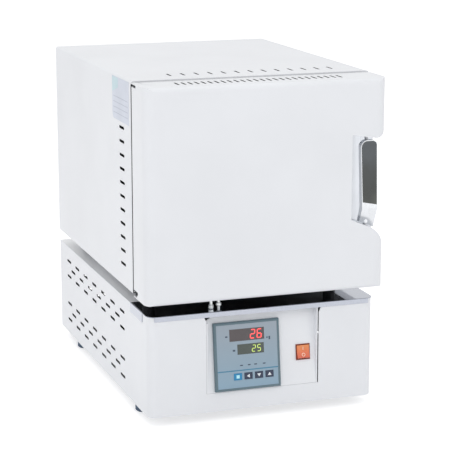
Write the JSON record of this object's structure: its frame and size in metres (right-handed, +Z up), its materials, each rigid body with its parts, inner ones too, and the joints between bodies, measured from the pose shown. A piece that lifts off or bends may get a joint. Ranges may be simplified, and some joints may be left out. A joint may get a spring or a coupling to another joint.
{
  "type": "muffle furnace",
  "caption": "Bench-top electric muffle furnace: insulated body with side-hung plug door and pull-lever handle, standing on a vented control base.",
  "frame": {"origin": "centre of the object's footprint box on the table, at the underside of the feet", "axes": "+X to the right when facing the door, +Y from the door to the rear, +Z up"},
  "size_m": [0.346, 0.5314, 0.4735],
  "materials": {
    "white_paint": "satin powder coat, cool white",
    "deck_paint": "satin powder coat",
    "mirror_steel": "polished stainless sheet",
    "plated_cup": "bright plated",
    "zinc_steel": "zinc plated",
    "spacer": "plain turned",
    "foot_rubber": "matt blue-grey",
    "lever_plastic": "light grey, satin",
    "dark_inlay": "gloss black",
    "bezel_plastic": "slate, fine texture",
    "face_foil": "blue-grey foil",
    "display_window": "smoked window",
    "key_plastic": "blue-grey",
    "rocker_plastic": "orange, lit type",
    "black_plastic": "black",
    "fin_aluminium": "plain extruded",
    "liner_steel": "galvanised",
    "fibre_board": "pressed ceramic fibre",
    "muffle_ceramic": "cast refractory, matt",
    "heating_wire": "oxidised",
    "probe_ceramic": "matt sheath",
    "dark_floor": "matt black paint",
    "nylon": "natural nylon"
  },
  "bodies": {
    "cabinet": {"back_panel": "white_paint", "base_back": "white_paint", "base_bottom": "zinc_steel", "base_shell": "white_paint", "base_top": "deck_paint", "body_bottom": "dark_floor", "cable_gland": "black_plastic", "case_legs": "liner_steel", "catch_body": "zinc_steel", "control_panel": "white_paint", "controller_case": "bezel_plastic", "controller_face": "face_foil", "display_lower": "display_window", "display_upper": "display_window", "door_stop_post": "spacer", "door_switch": "black_plastic", "feet": "foot_rubber", "foot_screws": "zinc_steel", "front_frame": "mirror_steel", "fuse_holder": "black_plastic", "hearth_plate": "muffle_ceramic", "heating_coils": "heating_wire", "hinge_brackets": "zinc_steel", "hinge_pins": "zinc_steel", "inner_case": "liner_steel", "insulation_back": "fibre_board", "insulation_bottom": "fibre_board", "insulation_sides": "fibre_board", "insulation_top": "fibre_board", "muffle": "muffle_ceramic", "muffle_back": "muffle_ceramic", "outer_casing": "white_paint", "panel_screws": "zinc_steel", "relay_heatsink": "fin_aluminium", "sill_plate": "mirror_steel", "solid_state_relay": "black_plastic", "standoffs": "spacer", "switch_housing": "black_plastic", "terminal_block": "black_plastic", "terminal_cover": "white_paint", "thermocouple": "probe_ceramic"},
    "door": {"door_skin": "white_paint", "door_inner_plate": "mirror_steel", "door_insulation": "fibre_board", "door_plug": "fibre_board", "hinge_blocks": "zinc_steel", "catch_pin": "zinc_steel", "handle_cup": "plated_cup", "handle_pin": "zinc_steel"},
    "latch": {"latch_lever": "lever_plastic", "lever_inlay": "dark_inlay"},
    "rocker": {"switch_rocker": "rocker_plastic"},
    "plunger": {"door_switch_plunger": "zinc_steel"},
    "key_set_cap": {"key_set": "key_plastic"},
    "key_left_cap": {"key_left": "key_plastic"},
    "key_down_cap": {"key_down": "key_plastic"},
    "key_up_cap": {"key_up": "key_plastic"},
    "roller_lower": {"catch_roller_lower": "nylon"},
    "roller_upper": {"catch_roller_upper": "nylon"}
  },
  "joints": [
    {"name": "door_hinge", "type": "hinge", "parent": "cabinet", "child": "door", "pos_m": [-0.1676, -0.20925, 0.3275], "axis": [0, 0, -1], "range_deg": [0, 120]},
    {"name": "latch_pull", "type": "hinge", "parent": "door", "child": "latch", "pos_m": [0.147, -0.25265, 0.331], "axis": [0, 0, -1], "range_deg": [0, 25], "stiffness_Nm_per_rad": 0.3},
    {"name": "rocker_tilt", "type": "hinge", "parent": "cabinet", "child": "rocker", "pos_m": [0.061, -0.23983, 0.08736], "axis": [1, 0, 0], "range_deg": [0, 18]},
    {"name": "door_switch_press", "type": "slide", "parent": "cabinet", "child": "plunger", "axis": [0, 0, -1], "range_m": [0, 0.003], "stiffness_N_per_m": 100},
    {"name": "key_set_press", "type": "slide", "parent": "cabinet", "child": "key_set_cap", "axis": [0, 0.993, -0.1184], "range_m": [0, 0.0006], "stiffness_N_per_m": 200},
    {"name": "key_left_press", "type": "slide", "parent": "cabinet", "child": "key_left_cap", "axis": [0, 0.993, -0.1184], "range_m": [0, 0.0006], "stiffness_N_per_m": 200},
    {"name": "key_down_press", "type": "slide", "parent": "cabinet", "child": "key_down_cap", "axis": [0, 0.993, -0.1184], "range_m": [0, 0.0006], "stiffness_N_per_m": 200},
    {"name": "key_up_press", "type": "slide", "parent": "cabinet", "child": "key_up_cap", "axis": [0, 0.993, -0.1184], "range_m": [0, 0.0006], "stiffness_N_per_m": 200},
    {"name": "roller_lower_spin", "type": "hinge", "parent": "cabinet", "child": "roller_lower", "pos_m": [0.1615, -0.18875, 0.3175], "axis": [1, 0, 0], "continuous": true},
    {"name": "roller_upper_spin", "type": "hinge", "parent": "cabinet", "child": "roller_upper", "pos_m": [0.1615, -0.18875, 0.3365], "axis": [1, 0, 0], "continuous": true}
  ]
}
